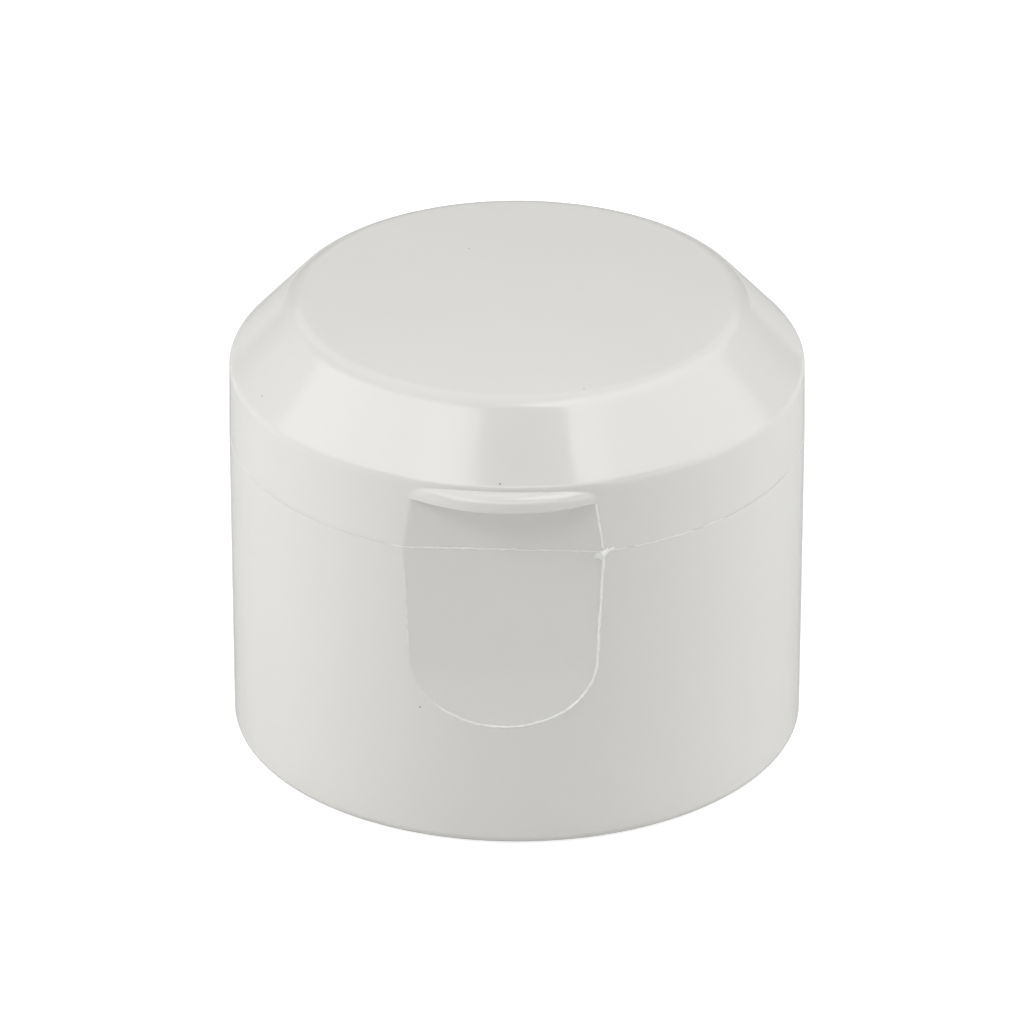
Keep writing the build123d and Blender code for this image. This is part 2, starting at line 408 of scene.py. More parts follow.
def basePath(turn):
    u, s = baseUser, capSizes
    edge, inner = u["edgeRounding"], u["innerRounding"]
    plugInner = u["plugRadius"] - u["plugWall"]
    corners = [
        (u["boreRadius"] + u["mouthLeadIn"], 0, u["cornerRounding"], 4, 2),
        (skirtRadius(0.0), 0, u["footRounding"], 9, 1),
        (skirtRadius(u["footTop"]), u["footTop"], 0, 2, rowHeights(*u["skirtRows"])),
        (s["outerRadius"], u["rimHeight"], u["partingRounding"], 5, 10),
        (u["collarRadius"], u["rimHeight"], inner, 4, rowHeights(u["collarRows"])),
        (u["collarRadius"], u["collarTop"], edge, 6, 1),
        (u["collarInner"], u["collarTop"], edge, 6, 3),
        (u["collarInner"], u["deckTop"], u["cornerRounding"], 4, 8),
        (u["spoutFoot"], u["deckTop"], edge, 5, 5),
        (u["spoutTip"], u["spoutTop"], edge, 6, 1),
        (u["orifice"], u["spoutTop"], edge, 6, 6),
        (u["orifice"], u["deckUnder"], inner, 4, 6),
        (plugInner, u["deckUnder"], inner, 4, 4),
        (plugInner, u["plugTip"], inner, 4, 1),
        (u["plugRadius"] - u["plugTaper"], u["plugTip"], u["plugRounding"], 5, 4),
        (u["plugRadius"], u["deckUnder"], inner, 4, 5),
        (u["boreRadius"] - u["shoulderNarrowing"], u["deckUnder"], u["shoulderRounding"], 5, 4),
        (u["boreRadius"], u["threadZone"], u["threadEndRounding"], 3, 12),
        (u["boreRadius"], u["mouthLeadIn"], u["cornerRounding"], 4, 1),
    ]
    slack = 0.01
    innerRows = 3  # rows of the rounding at the collar's foot
    r, z, rWay, zWay = onColumns(roundedPath(corners, closed=True), turn)
    rowNumber = np.arange(r.shape[0])[:, None]
    ledgeEnd = int(np.argmax(z[:, 0] > u["rimHeight"] + slack))
    outside = rowNumber < ledgeEnd
    onCollar = (rowNumber >= ledgeEnd - innerRows) & (r > u["collarRadius"] - slack)
    onCollar = onCollar & (z > s["baseHeight"]) & (z < u["collarTop"])

    def change(angle, radius, height):
        whole = skirtRadius(height)
        cut = cutByFlats(whole, angle, height)
        share = np.clip((radius - u["collarRadius"]) / (whole - u["collarRadius"]), 0, 1)
        share = np.where(outside & (height > u["plainFoot"]), share, 0)
        off = np.abs(height - u["beadHeight"]) / u["beadRadius"]
        swell = u["beadRadius"] * np.sqrt(np.clip(1 - off**2, 0.0, 1))
        swell = swell * (1 - smoothStep(u["beadHalfArc"] - u["beadFade"], u["beadHalfArc"], awayFrom(angle)))
        return radius - (whole - cut) * share + np.where(onCollar, swell, 0)

    return bentPath((r, z, rWay, zWay), turn, change)


base = turnedMesh("capBase", basePath, closed=True)


# The lid: top, bevel, band with thumb recess and tab, and the hollow with the sealing pin.
lidUser = {
    "partingRounding": 0.03,
    "shoulderRounding": 0.6,
    "topRounding": 1.2,
    "chamferRun": 3.0,
    "pinRadius": 1.38,
    "pinInner": 0.73,
    "pinTip": 17.0,
    "pinTop": 21.94,
    "pinTaper": 0.2,
    "pinShoulder": 18.0,
    "pinRoundings": (0.15, 0.1, 0.12, 0.4, 0.25),  # from the blind end of its bore over its tip to its foot
    "hollowTop": 21.29,
    "hollowRounding": 0.8,
    "mouthTop": 16.59,
    "wall": 1.2,
    "padFront": 12.055,  # flats inside the wall behind the thumb recess and the hinge pocket
    "padRear": 11.8,
    "padMeeting": 0.05,
    "padBlend": 0.16,
    "padRows": ((20.7, 20.05, -0.2), (20.0, 19.13, -0.04)),
    "ribRows": (16.5, 15.85, -0.05),
    "bandRows": (15.85, 18.1, 0.09),
    "ribHeight": 16.09,
    "ribProud": 0.15,
    "ribHalfLength": 3.0,
    "ribFade": 0.2,
    "ribSpread": 1.3,
    "ribFrom": 11.0,  # radius from which the wall may carry the rib
    "ribOnWall": 0.01,  # the rib lies on the inner side of the wall: a share of the way through it
    "ceilingRounding": 0.06,
    "ceilingDrop": 0.08,  # the recess's ceiling leans by these beyond the tab's ends
    "ceilingRise": 0.1,
    "ceilingEnds": (17.7, 19.0),  # deg
    "tabReach": 0.65,
    "tabTop": 19.13,
    "tabHalfWidth": 4.35,
    "tabRounding": 0.55,
    "tabUnderRounding": 0.08,
    "tabBlend": 0.04,
    "tabZone": 0.16,  # the rows of the tab start this far below the recess's ceiling
    "tabStep": 0.02,
    "tabRows": (0.4, 0.75, 1.0),  # on the way from the tab's rounded edge back to the bevel
}


def lidSizes():
    s, u = capSizes, lidUser
    rise = s["lidTop"] - s["lidShoulder"]
    slope = math.hypot(u["chamferRun"], rise)
    across = u["wall"] * slope / rise
    shoulderRadius = bandRadius(s["lidShoulder"])
    hollowShoulder = s["lidShoulder"] - (across - u["wall"]) * rise / u["chamferRun"]
    hollowTopRadius = shoulderRadius - (u["hollowTop"] - s["lidShoulder"]) * u["chamferRun"] / rise - across
    crest = s["outerRadius"] + u["tabReach"]
    ends = math.sqrt(s["outerRadius"] ** 2 - u["tabHalfWidth"] ** 2)
    coin = (u["tabHalfWidth"] ** 2 + (crest - ends) ** 2) / (2 * (crest - ends))
    return shoulderRadius, hollowShoulder, hollowTopRadius, coin, crest - coin


def shoulderProfile():  # radii and heights up the band, over its rounded edge and on to the bevel
    s, u = capSizes, lidUser
    shoulder = lidSizes()[0]
    corners = [
        (bandRadius(s["lidBottom"]), s["lidBottom"], 0, 1, 0),
        (shoulder, s["lidShoulder"], u["shoulderRounding"], 61, 0),
        (shoulder - u["chamferRun"], s["lidTop"], 0, 1, 0),
    ]
    path = roundedPath(corners)
    return path[0][:, 0], path[1][:, 0]


shoulderRadii, shoulderHeights = shoulderProfile()


def lidWall(angle, height):  # the lid's outside with the recess and the pocket cut into it
    return cutByFlats(bandRadius(height), angle, height)


def hollowPath(turn):  # from the axis down the sealing pin, through the hollow and up the band to the tab
    s, u = capSizes, lidUser
    shoulderRadius, hollowShoulder, hollowTopRadius = lidSizes()[:3]
    innerBottom = s["outerRadius"] - u["wall"]
    tabStart = s["recessCeiling"] - u["tabZone"]
    blind, tipInner, tipOuter, shoulder, foot = u["pinRoundings"]
    corners = [
        (0, u["pinTop"], 0, 1, 1),
        (u["pinInner"], u["pinTop"], blind, 4, 4),
        (u["pinInner"], u["pinTip"], tipInner, 4, 1),
        (u["pinRadius"] - u["pinTaper"], u["pinTip"], tipOuter, 4, 1),
        (u["pinRadius"], u["pinShoulder"], shoulder, 3, 4),
        (u["pinRadius"], u["hollowTop"], foot, 5, 8),
        (hollowTopRadius, u["hollowTop"], u["hollowRounding"], 7, rowHeights(*u["padRows"])),
        (shoulderRadius - u["wall"], hollowShoulder, u["hollowRounding"], 17, 12),
        (innerBottom, u["mouthTop"], 0, 2, rowHeights(u["ribRows"])),
        (innerBottom, s["lidBottom"], u["partingRounding"], 4, 5),
        (s["outerRadius"], s["lidBottom"], u["partingRounding"], 5, rowHeights(u["bandRows"])),
        (bandRadius(tabStart), tabStart, 0, 1, 1),
    ]

    def change(angle, radius, height):
        whole = bandRadius(height)
        pad = smoothMin(onFlat(u["padFront"], np.cos(angle)), onFlat(u["padRear"], -np.cos(angle)), u["padMeeting"])
        inner = innerBottom - (height - s["lidBottom"]) * slopeOf(s["bandDraft"])
        share = np.clip((radius - inner) / (whole - inner), 0, 1)
        lean = np.minimum(radius, inner)
        flat = lean - smoothMin(lean, pad, u["padBlend"])
        off = np.abs(height - u["ribHeight"]) / (u["ribSpread"] * u["ribProud"])
        swell = u["ribProud"] * (0.5 + 0.5 * np.cos(np.pi * np.clip(off, 0, 1)))
        side = np.abs(radius * np.sin(angle))
        swell = swell * (1 - smoothStep(u["ribHalfLength"] - u["ribFade"], u["ribHalfLength"], side))
        onRib = (np.cos(angle) > 0) & (share < u["ribOnWall"]) & (radius > u["ribFrom"])
        swell = np.where(onRib, swell, 0)
        return radius - (1 - share) * flat - share * (whole - lidWall(angle, height)) - swell

    return bentPath(onColumns(roundedPath(corners), turn), turn, change)


def tabRows(turn):  # the recess's ceiling, the tab's rim and its top
    s, u = capSizes, lidUser
    coin, coinCentre = lidSizes()[3:]
    flat = 0 * turn
    hair = 1e-3  # mm below the parting of two surfaces, to be on the lower one
    leastSquare = 0.01  # keeps the root real where the coin is out of reach
    spread = smoothStep(*u["ceilingEnds"], awayFrom(turn))

    def coinReach(rim):
        inside = np.maximum(rim**2 - (coinCentre * np.sin(turn)) ** 2, leastSquare)
        return coinCentre * np.cos(turn) + np.sqrt(inside)

    def proud(rim, height):
        return -smoothMin(-np.interp(height, shoulderHeights, shoulderRadii), -coinReach(rim), u["tabBlend"])

    ceiling = s["recessCeiling"]
    lowest = ceiling - u["tabZone"] + u["tabStep"] + flat
    sideTop = u["tabTop"] - u["tabRounding"]
    ledge = [
        (lidWall(turn, lowest), lowest, 0, 1, 1),
        (lidWall(turn, ceiling + flat - hair), ceiling - u["ceilingDrop"] * spread, u["ceilingRounding"], 4, 5),
        (proud(coin, ceiling + flat), ceiling + u["ceilingRise"] * spread, u["tabUnderRounding"], 5, 3),
        (proud(coin, sideTop + flat), sideTop + flat, 0, 1, 0),
    ]
    lowRadii, lowHeights = roundedPath(ledge)[:2]
    bend = np.linspace(0, np.pi / 2, 13)[1:, None]
    rim = coin - u["tabRounding"] * (1 - np.cos(bend))
    rimHeight = sideTop + u["tabRounding"] * np.sin(bend)
    arcRadii = np.array([proud(rim[i], rimHeight[i] + flat) for i in range(len(bend))])
    t = np.array(u["tabRows"])[:, None]
    bevel = np.interp(u["tabTop"] + u["tabStep"], shoulderHeights, shoulderRadii)
    topRadii = arcRadii[-1] + (bevel - arcRadii[-1]) * t
    topHeights = u["tabTop"] + u["tabStep"] * t + 0 * topRadii
    radii = np.concatenate([lowRadii, arcRadii, topRadii])
    return radii, np.concatenate([lowHeights, np.broadcast_to(rimHeight, arcRadii.shape), topHeights])


def crownPath(turn):  # over the rounded edge of the band, up the bevel and across the top to the axis
    s, u = capSizes, lidUser
    shoulderRadius = lidSizes()[0]
    corners = [
        (bandRadius(s["recessCeiling"]), s["recessCeiling"], 0, 1, 0),
        (shoulderRadius, s["lidShoulder"], u["shoulderRounding"], 19, 9),
        (shoulderRadius - u["chamferRun"], s["lidTop"], u["topRounding"], 17, 14),
        (0, s["lidTop"], 0, 1, 0),
    ]
    path = onColumns(roundedPath(corners), turn)
    over = int(np.argmax(path[1][:, 0] > u["tabTop"] + 1.5 * u["tabStep"]))
    return [a[over:] for a in path]


def lidPath(turn):
    leastGap = 1e-6  # mm between two rows
    below, above = hollowPath(turn), crownPath(turn)
    radii, heights = tabRows(turn)
    r = np.concatenate([below[0][:-1], radii, above[0]])
    z = np.concatenate([below[1][:-1], heights, above[1]])
    runs = np.diff(np.stack([r, z]), axis=1)
    gap = np.maximum(np.hypot(runs[0], runs[1]), leastGap)
    ahead, behind = gap[:-1] / gap[1:] * runs[:, 1:], gap[1:] / gap[:-1] * runs[:, :-1]
    way = np.zeros((2,) + r.shape)
    way[:, 1:-1] = (ahead + behind) / (gap[:-1] + gap[1:])
    first = len(below[0]) - 1
    last = first + len(radii)
    for i in (0, 1):
        way[i, :first] = below[2 + i][:-1]
        way[i, last:] = above[2 + i]
    return r, z, way[0], way[1]


lid = turnedMesh("capLid", lidPath, closed=False)

for piece, body, node in ((base, "skirt", "base"), (lid, "cover", "lid")):
    piece.data.materials.append(mouldedWhite)
    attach(piece, body)
    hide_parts(node)
print("base and lid made")


# The living hinge: a folded centre web and two snap straps, each a thin band with rounded edges.
hingeUser = {
    "pivotY": 14.15,
    "sunk": 0.12,  # how far each band reaches into the walls that carry it
    "roundedShare": 0.3,  # of its thickness, at the edges of each band
    "webThickness": 0.3,
    "webHalfWidth": 2.2,
    "foldRadius": 0.3,
    "strapThickness": 0.35,
    "strapInner": 2.8,
    "strapOuter": 4.4,
    "strapRise": 0.85,
    "strapBulge": 1.1,
    # Half the height over which the web and the straps bend. The web bends over no more than the gap in its fold.
    "webBend": 0.15,
    "strapBend": 0.75,
    "legPoints": 13,  # on each straight leg of the web
    "foldPoints": 61,
    "strapPoints": 49,
    "edgePoints": 5,
}
sharpFrom = math.radians(50)  # edges are shaded sharp from this angle on


def sweptBand(name, path, thickness, xLow, xHigh):  # a band along (y, z) points, its width along X
    path = np.array(path, float)
    way = np.gradient(path, axis=0)
    way /= np.linalg.norm(way, axis=1)[:, None]
    side = np.stack([way[:, 1], -way[:, 0]], -1)
    rounding = thickness * hingeUser["roundedShare"]
    loop = []
    for xSide, tSide, start in ((1, 1, 0), (-1, 1, 90), (-1, -1, 180), (1, -1, 270)):
        for bend in np.radians(np.linspace(start, start + 90, hingeUser["edgePoints"])):
            x = (xLow + xHigh) / 2 + xSide * ((xHigh - xLow) / 2 - rounding) + rounding * math.cos(bend)
            t = tSide * (thickness / 2 - rounding) + rounding * math.sin(bend)
            loop.append((x, t))
    points = []
    for p, outward in zip(path, side):
        points += [(x * mm, (p[0] + t * outward[0]) * mm, (p[1] + t * outward[1]) * mm) for x, t in loop]
    m = len(loop)
    faces = [tuple(range(m)), tuple(reversed(range(len(points) - m, len(points))))]
    for i in range(len(path) - 1):
        for j in range(m):
            k = (j + 1) % m
            faces.append((i * m + j, (i + 1) * m + j, (i + 1) * m + k, i * m + k))
    mesh = bpy.data.meshes.new(name)
    mesh.from_pydata(points, [], faces)
    shell = bmesh.new()
    shell.from_mesh(mesh)
    bmesh.ops.recalc_face_normals(shell, faces=shell.faces)
    shell.to_mesh(mesh)
    shell.free()
    mesh.shade_smooth()
    mesh.set_sharp_from_angle(angle=sharpFrom)
    return addObject(name, mesh)


def arcPoints(centre, radius, reach, count):
    turns = np.linspace(-reach, reach, count)
    return [(centre + radius * math.cos(a), partingHeight + radius * math.sin(a)) for a in turns]


def webPath(user):
    root = capSizes["pocketFloor"] - user["sunk"]
    fold, centre, count = user["foldRadius"], user["pivotY"] - user["foldRadius"], user["legPoints"] + 1
    lower = [(y, partingHeight - fold) for y in np.linspace(root, centre, count)[:-1]]
    upper = [(y, partingHeight + fold) for y in np.linspace(centre, root, count)[1:]]
    return lower + arcPoints(centre, fold, math.pi / 2, user["foldPoints"]) + upper


def strapPath(user):
    rise, bulge = user["strapRise"], user["strapBulge"]
    radius = (rise**2 + bulge**2) / (2 * bulge)
    centre = capSizes["pocketFloor"] + bulge - radius
    reach = math.acos((capSizes["pocketFloor"] - user["sunk"] - centre) / radius)
    return arcPoints(centre, radius, reach, user["strapPoints"])


def hangBand(band, node):  # gives the band its finish, moves it into world space and hides the solid it stands for
    band.data.materials.append(foldedWhite)
    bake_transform(band)
    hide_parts(node)


u = hingeUser
web = sweptBand("hingeWeb", webPath(u), u["webThickness"], -u["webHalfWidth"], u["webHalfWidth"])
hangBand(web, "hinge_film")
strapLeft = sweptBand("snapStrapLeft", strapPath(u), u["strapThickness"], -u["strapOuter"], -u["strapInner"])
hangBand(strapLeft, "hinge_strap_left")
strapRight = sweptBand("snapStrapRight", strapPath(u), u["strapThickness"], u["strapInner"], u["strapOuter"])
hangBand(strapRight, "hinge_strap_right")
print("living hinge made")


# Pieces that follow a path, by Geometry Nodes.
def newTree(name, sizes):  # a tree, what it is given, and its end
    tree = bpy.data.node_groups.new(name, "GeometryNodeTree")
    tree.interface.new_socket("Geometry", in_out="INPUT", socket_type="NodeSocketGeometry")
    tree.interface.new_socket("Geometry", in_out="OUTPUT", socket_type="NodeSocketGeometry")
    for label, value in sizes.items():
        kind = "NodeSocketInt" if isinstance(value, int) else "NodeSocketFloat"
        tree.interface.new_socket(label, in_out="INPUT", socket_type=kind)
    return tree, tree.nodes.new("NodeGroupInput").outputs, tree.nodes.new("NodeGroupOutput")


def sweepTree(tree, out, path, section, scale, material):  # the section swept along the path ends the tree
    swept = {"Curve": path, "Profile Curve": section, "Scale": scale, "Fill Caps": True}
    sweep = addNode(tree, "GeometryNodeCurveToMesh", swept)
    real = addNode(tree, "GeometryNodeRealizeInstances", {"Geometry": sweep.outputs["Mesh"]})
    finish = addNode(tree, "GeometryNodeSetMaterial", {"Geometry": real.outputs["Geometry"], "Material": material})
    tree.links.new(finish.outputs["Geometry"], out.inputs[0])


def plainFromTree(name, carrier, tree, sizes):  # the tree's result in mm becomes a plain mesh in metres
    modifier = carrier.modifiers.new(tree.name, "NODES")
    modifier.node_group = tree
    for item in tree.interface.items_tree:
        if item.item_type == "SOCKET" and item.in_out == "INPUT" and item.name in sizes:
            modifier[item.identifier] = sizes[item.name]
    bpy.context.view_layer.update()
    evaluated = carrier.evaluated_get(bpy.context.evaluated_depsgraph_get())
    mesh = bpy.data.meshes.new_from_object(evaluated)
    mesh.name = name
    mesh.transform(Matrix.Scale(mm, 4))
    carrier.modifiers.clear()
    bpy.data.objects.remove(carrier)
    piece = addObject(name, mesh)
    print(name, len(mesh.vertices), "points")
    return piece


def pathCarrier(name, points, edges):
    mesh = bpy.data.meshes.new(name)
    mesh.from_pydata([tuple(p) for p in points], edges, [])
    return addObject(name, mesh)


threadUser = {
    "Turns": 1.5,
    "Pitch": 3.175,
    "Bore": 12.05,
    "Start": 2.0,
    "Proud": 0.92,
    "Foot": 1.7,
    "Crest": 0.75,
    "Sunk": 0.12,
    "Rounding": 0.18,
    "Fade": 0.07,  # share of the thread's length that rises from the wall at each end
    "Thinnest": 0.1,  # share of the section that is left at each end
    "TurnPoints": 150,
    "RoundingPoints": 4,
}


def fadeNode(tree, value, width):  # rises softly from 0 to 1 over the width
    given = {"Value": value, "From Max": width}
    return addNode(tree, "ShaderNodeMapRange", given, interpolation_type="SMOOTHSTEP").outputs["Result"]


def threadPath(tree, given):
    sizes = {
        "Resolution": given["TurnPoints"],
        "Reverse": True,  # right-handed
        "Rotations": given["Turns"],
        "Start Radius": given["Bore"],
        "End Radius": given["Bore"],
        "Height": mathNode(tree, "MULTIPLY", given["Turns"], given["Pitch"]),
    }
    spiral = addNode(tree, "GeometryNodeCurveSpiral", sizes).outputs["Curve"]
    start = addNode(tree, "ShaderNodeCombineXYZ", {"Z": given["Start"]}).outputs["Vector"]
    lift = addNode(tree, "GeometryNodeTransform", {"Geometry": spiral, "Translation": start})
    upright = addNode(tree, "GeometryNodeSetCurveNormal", {"Curve": lift.outputs["Geometry"]}, mode="Z_UP")
    return upright.outputs["Curve"]


def threadSection(tree, given):  # a rounded trapezoid, its foot in the wall and its crest towards the axis
    deep = mathNode(tree, "ADD", given["Proud"], given["Sunk"])
    sizes = {"Offset": 0.0, "Bottom Width": given["Foot"], "Top Width": given["Crest"], "Height": deep}
    section = addNode(tree, "GeometryNodeCurvePrimitiveQuadrilateral", sizes, mode="TRAPEZOID").outputs["Curve"]
    corners = {"Curve": section, "Radius": given["Rounding"], "Count": given["RoundingPoints"]}
    rounded = addNode(tree, "GeometryNodeFilletCurve", corners, mode="POLY").outputs["Curve"]
    middle = mathNode(tree, "MULTIPLY_ADD", deep, 0.5, mathNode(tree, "MULTIPLY", given["Sunk"], -1.0))
    offset = addNode(tree, "ShaderNodeCombineXYZ", {"Y": middle}).outputs["Vector"]
    seat = addNode(tree, "GeometryNodeTransform", {"Geometry": rounded, "Translation": offset})
    turned = {"Geometry": seat.outputs["Geometry"], "Rotation": (0, 0, math.pi / 2)}
    return addNode(tree, "GeometryNodeTransform", turned).outputs["Geometry"]


def buildThread(user, material):
    tree, given, out = newTree("screwThread", user)
    along = tree.nodes.new("GeometryNodeSplineParameter").outputs["Factor"]
    rising = fadeNode(tree, along, given["Fade"])
    falling = fadeNode(tree, mathNode(tree, "SUBTRACT", 1.0, along), given["Fade"])
    ends = mathNode(tree, "MULTIPLY", rising, falling)
    scale = mathNode(tree, "MAXIMUM", ends, given["Thinnest"])
    sweepTree(tree, out, threadPath(tree, given), threadSection(tree, given), scale, material)
    carrier = pathCarrier("threadCarrier", [(0, 0, 0), (0, 0, 1)], [(0, 1)])
    return plainFromTree("neckThread", carrier, tree, user)


thread = buildThread(threadUser, mouldedWhite)
thread.data.shade_smooth()
thread.data.set_sharp_from_angle(angle=sharpFrom)
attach(thread, "skirt")


# Thin flash that the mould left along its joins: round the thumb recess and on the parting edge. Its lighter tone is a
# painted highlight.
flashSizes = {
    "Spacing": 0.06,
    "Radius": 0.045,
    "Sides": 8,
    "Waver": 0.14,
    "WaverSize": 1.9,
    "WaverDetail": 3.0,
    "Ragged": 1.7,
    "RaggedSize": 4.0,
    "RaggedDetail": 2.0,
}


def buildFlashTree(user):
    tree, given, out = newTree("mouldFlash", user)
    curve = addNode(tree, "GeometryNodeMeshToCurve", {"Mesh": given["Geometry"]}).outputs["Curve"]
    even = addNode(tree, "GeometryNodeResampleCurve", {"Curve": curve, "Length": given["Spacing"]}, mode="LENGTH")
    place = tree.nodes.new("GeometryNodeInputPosition").outputs["Position"]
    noise = noiseNode(tree, place, given["WaverSize"], given["WaverDetail"])["Color"]
    centred = addNode(tree, "ShaderNodeVectorMath", {0: noise, 1: (0.5, 0.5, 0.5)}, operation="SUBTRACT")
    waver = {0: centred.outputs["Vector"], "Scale": given["Waver"]}
    offset = addNode(tree, "ShaderNodeVectorMath", waver, operation="SCALE").outputs["Vector"]
    wavy = addNode(tree, "GeometryNodeSetPosition", {"Geometry": even.outputs["Curve"], "Offset": offset})
    strength = addNode(tree, "GeometryNodeInputNamedAttribute", {"Name": "strength"}, data_type="FLOAT")
    rough = noiseNode(tree, place, given["RaggedSize"], given["RaggedDetail"])["Fac"]
    ragged = mathNode(tree, "MULTIPLY_ADD", mathNode(tree, "SUBTRACT", rough, 0.5), given["Ragged"], 1.0)
    size = mathNode(tree, "MULTIPLY", strength.outputs["Attribute"], ragged)
    thick = mathNode(tree, "MULTIPLY", size, given["Radius"])
    section = addNode(tree, "GeometryNodeCurvePrimitiveCircle", {"Resolution": given["Sides"], "Radius": 1.0})
    sweepTree(tree, out, wavy.outputs["Geometry"], section.outputs["Curve"], thick, flashWithPaintedHighlight)
    return tree


def flashCarrier(name, strokes):  # loose paths, each a list of points with a thickness share at each point
    points, edges, shares = [], [], []
    for path, strength in strokes:
        edges += [(len(points) + i, len(points) + i + 1) for i in range(len(path) - 1)]
        points += list(path)
        shares += list(np.broadcast_to(strength, len(path)))
    carrier = pathCarrier(name, points, edges)
    attribute = carrier.data.attributes.new("strength", "FLOAT", "POINT")
    attribute.data.foreach_set("value", np.array(shares, np.float32))
    return carrier


def layFlash(name, strokes, tree, body):
    piece = plainFromTree(name, flashCarrier(name + "Path", strokes), tree, flashSizes)
    piece.data.shade_smooth()
    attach(piece, body)


def recessEdge(heights, radiusAt, side):  # points where the recess meets the round wall
    reach, whole = recessReach(heights), radiusAt(heights)
    turn = side * np.arccos(np.clip(reach / whole, -1, 1))
    return np.stack([whole * np.sin(turn), -whole * np.cos(turn), heights], -1)


def sunkBy(points, depth):
    flat = np.linalg.norm(points[:, :2], axis=1)
    return points * np.stack([(flat - depth) / flat, (flat - depth) / flat, np.ones(len(flat))], -1)


skirtFlashUser = {
    "sunk": 0.02,
    "tip": 6.475,  # height at which the two sides of the recess meet
    "end": 0.05,  # how far below the skirt's edge the line ends
    "rightSide": 1.6,
    "leftSide": 0.45,
    "bottom": 1.3,
    "bottomEnd": 0.3,  # share of the height
    # Where the line on the left is worn, low down and at its top: from, to and how softly, as shares of the
    # height, and how much is gone.
    "leftWorn": ((0.12, 0.34, 0.06, 0.1, 0.7), (0.95, 2.0, 0.1, 1.0, 0.8)),
    "parting": (-25.0, 52.0),  # deg, from and to
    "partingFade": (4.0, 8.0),  # deg
    "partingStrength": (0.95, 0.6),  # across the recess and beyond it
    "recessSide": (19.5, 21.0),  # deg
    "partingLift": 0.04,
    "thinnest": 0.02,
    "sidePoints": 90,
    "partingPoints": 260,
    "openings": ((25.6, 0.8), (41.0, 1.2)),  # deg: where the parting line stays open, and how wide
    "burrTurn": 20.0,  # deg
    # The burr's strokes: steps sideways and up in mm.
    "burr": (
        ((-0.45, -0.34), (-0.08, -0.1), (0.5, 0.17)),
        ((-0.16, -0.4), (-0.08, -0.12), (0.2, 0.22)),
        ((-0.42, -0.12), (-0.12, -0.1), (0.3, 0.0)),
    ),
    "burrStrength": (1.7, 4.0, 1.0),
}


def recessStroke(user):  # down the right side of the recess to its tip and up the left side
    steps = np.linspace(0, 1, user["sidePoints"]) ** 2
    heights = user["tip"] + (capSizes["baseHeight"] - user["end"] - user["tip"]) * steps
    right = recessEdge(heights[::-1], skirtRadius, 1)
    left = recessEdge(heights[1:], skirtRadius, -1)
    share = np.concatenate([steps[::-1], steps[1:]])
    isRight = np.arange(len(share)) < len(right)
    upper = np.where(isRight, user["rightSide"], user["leftSide"])
    strength = user["bottom"] + (upper - user["bottom"]) * smoothStep(0.0, user["bottomEnd"], share)
    for start, stop, fadeIn, fadeOut, by in user["leftWorn"]:
        worn = smoothStep(start - fadeIn, start, share) * (1 - smoothStep(stop, stop + fadeOut, share))
        strength = np.where(isRight, strength, strength * (1 - by * worn))
    return sunkBy(np.vstack([right, left]), user["sunk"]), strength


def onRim(turn, height):  # points along the skirt's upper edge, also where the recess cuts it
    rim = np.minimum(capSizes["outerRadius"], recessReach(capSizes["baseHeight"] + 0 * turn) / np.cos(turn))
    return np.stack([rim * np.sin(turn), -rim * np.cos(turn), capSizes["baseHeight"] + height + 0 * turn], -1)


def partingStroke(user):
    (start, stop), (fadeIn, fadeOut) = user["parting"], user["partingFade"]
    degrees = np.linspace(start, stop, user["partingPoints"])
    strength = smoothStep(start, start + fadeIn, degrees) * (1 - smoothStep(stop - fadeOut, stop, degrees))
    across, beyond = user["partingStrength"]
    strength = strength * (across + (beyond - across) * smoothStep(*user["recessSide"], np.abs(degrees)))
    for middle, width in user["openings"]:
        strength = strength * (1 - np.exp(-(((degrees - middle) / width) ** 4)))
    return onRim(np.radians(degrees), user["partingLift"]), np.maximum(strength, user["thinnest"])


def burrStroke(steps, user):
    sideways, up = np.array(steps).T
    turn = np.radians(user["burrTurn"]) + sideways / capSizes["outerRadius"]
    return onRim(turn, up), np.array(user["burrStrength"])


def skirtFlash(user):
    return [recessStroke(user), partingStroke(user)] + [burrStroke(steps, user) for steps in user["burr"]]


lidFlashUser = {
    "start": 0.03,  # above the lid's lower edge
    "end": 0.05,  # below the recess's ceiling
    "sunk": 0.015,
    "strength": (1.25, 2.05),  # below and at the ceiling
    "strongFrom": 17.9,
    "points": 30,
}


def lidFlash(user):
    bottom, ceiling = capSizes["lidBottom"], capSizes["recessCeiling"]
    heights = np.linspace(bottom + user["start"], ceiling - user["end"], user["points"])
    low, high = user["strength"]
    strength = low + (high - low) * smoothStep(user["strongFrom"], ceiling, heights)
    return [(sunkBy(recessEdge(heights, bandRadius, 1), user["sunk"]), strength)]


flashTree = buildFlashTree(flashSizes)
layFlash("skirtFlash", skirtFlash(skirtFlashUser), flashTree, "skirt")
layFlash("lidFlash", lidFlash(lidFlashUser), flashTree, "cover")
print("mould flash laid")


# The camera: the photo's angle, from a least squares fit of the cap's outline.
cameraUser = {
    "imageSide": 1024,  # px
    "distance": 0.5601,  # m from the middle of the cap
    "elevation": 27.38,  # deg above the table
    "azimuth": 2.85,  # deg towards +X
    "focal": 11472,  # px
    "capMiddle": (517.0, 504.4),  # px, where the middle of the cap falls in the photo
    "sensor": 36.0,
    "clip": (0.01, 10.0),  # m
}


